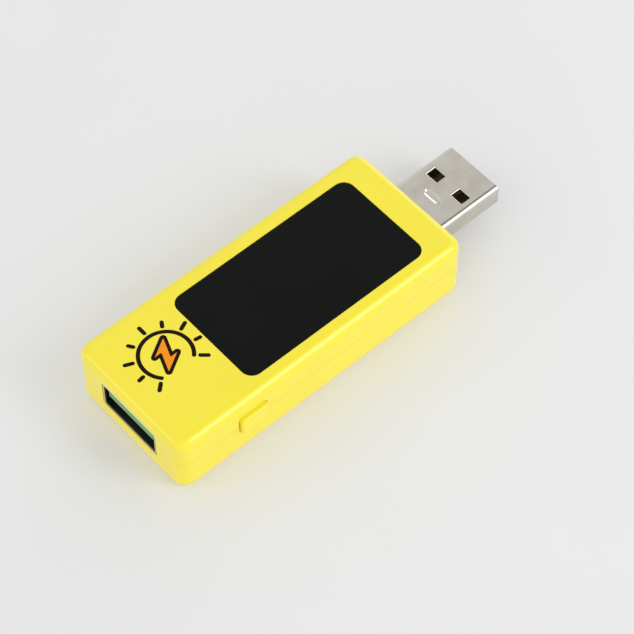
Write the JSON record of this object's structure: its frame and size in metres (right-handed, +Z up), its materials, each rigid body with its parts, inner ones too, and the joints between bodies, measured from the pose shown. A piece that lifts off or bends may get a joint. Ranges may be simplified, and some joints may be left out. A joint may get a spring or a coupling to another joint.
{
  "type": "usb power meter",
  "caption": "Yellow stick-shaped USB power meter with a dark flush display, a side push button, a USB-A plug on one end and a USB-A socket on the other.",
  "frame": {"origin": "centre of the case's flat underside", "axes": "+X along the case towards the plug, +Z up through the display, the side button faces -Y"},
  "size_m": [0.0755, 0.0269, 0.0131],
  "materials": {
    "yellow_plastic": "glossy moulded ABS, bright yellow",
    "dark_lens": "glossy near-black tinted acrylic",
    "black_tape": "black double-sided tape",
    "display_glass": "liquid crystal glass",
    "amber_film": "polyimide film",
    "clear_guide": "frosted clear acrylic",
    "white_led": "white lamp housing",
    "white_plastic": "matte white moulding",
    "board_green": "green solder mask on glass-fibre board",
    "solder": "tinned metal",
    "nickel_steel": "nickel-plated steel, satin",
    "black_plastic": "satin black moulding",
    "gold_contacts": "gold-flashed contacts",
    "green_plastic": "green moulding",
    "chip_black": "moulded epoxy",
    "ceramic_tan": "tan ceramic chips"
  },
  "bodies": {
    "case": {"backlight_guide": "clear_guide", "backlight_led": "white_led", "bottom_shell": "yellow_plastic", "chip_capacitors": "ceramic_tan", "chip_resistors": "chip_black", "circuit_board": "board_green", "display_holder": "white_plastic", "display_window": "dark_lens", "lcd_flex_cable": "amber_film", "lcd_panel": "display_glass", "microcontroller": "chip_black", "plug_contacts": "gold_contacts", "plug_insulator": "black_plastic", "plug_shell": "nickel_steel", "shunt_resistor": "chip_black", "socket_contacts": "gold_contacts", "socket_shell": "nickel_steel", "socket_tongue": "green_plastic", "solder_joints": "solder", "switch_body": "black_plastic", "switch_cover": "nickel_steel", "switch_dome": "nickel_steel", "switch_terminals": "solder", "top_shell": "yellow_plastic", "voltage_regulator": "chip_black", "window_adhesive": "black_tape"},
    "button": {"button_cap": "yellow_plastic", "switch_plunger": "black_plastic"}
  },
  "joints": [
    {"name": "button_press", "type": "slide", "parent": "case", "child": "button", "axis": [0, 1, 0], "range_m": [0, 0.00025], "stiffness_N_per_m": 4000, "springref_m": -0.00015, "deforming": ["switch_dome"]}
  ]
}
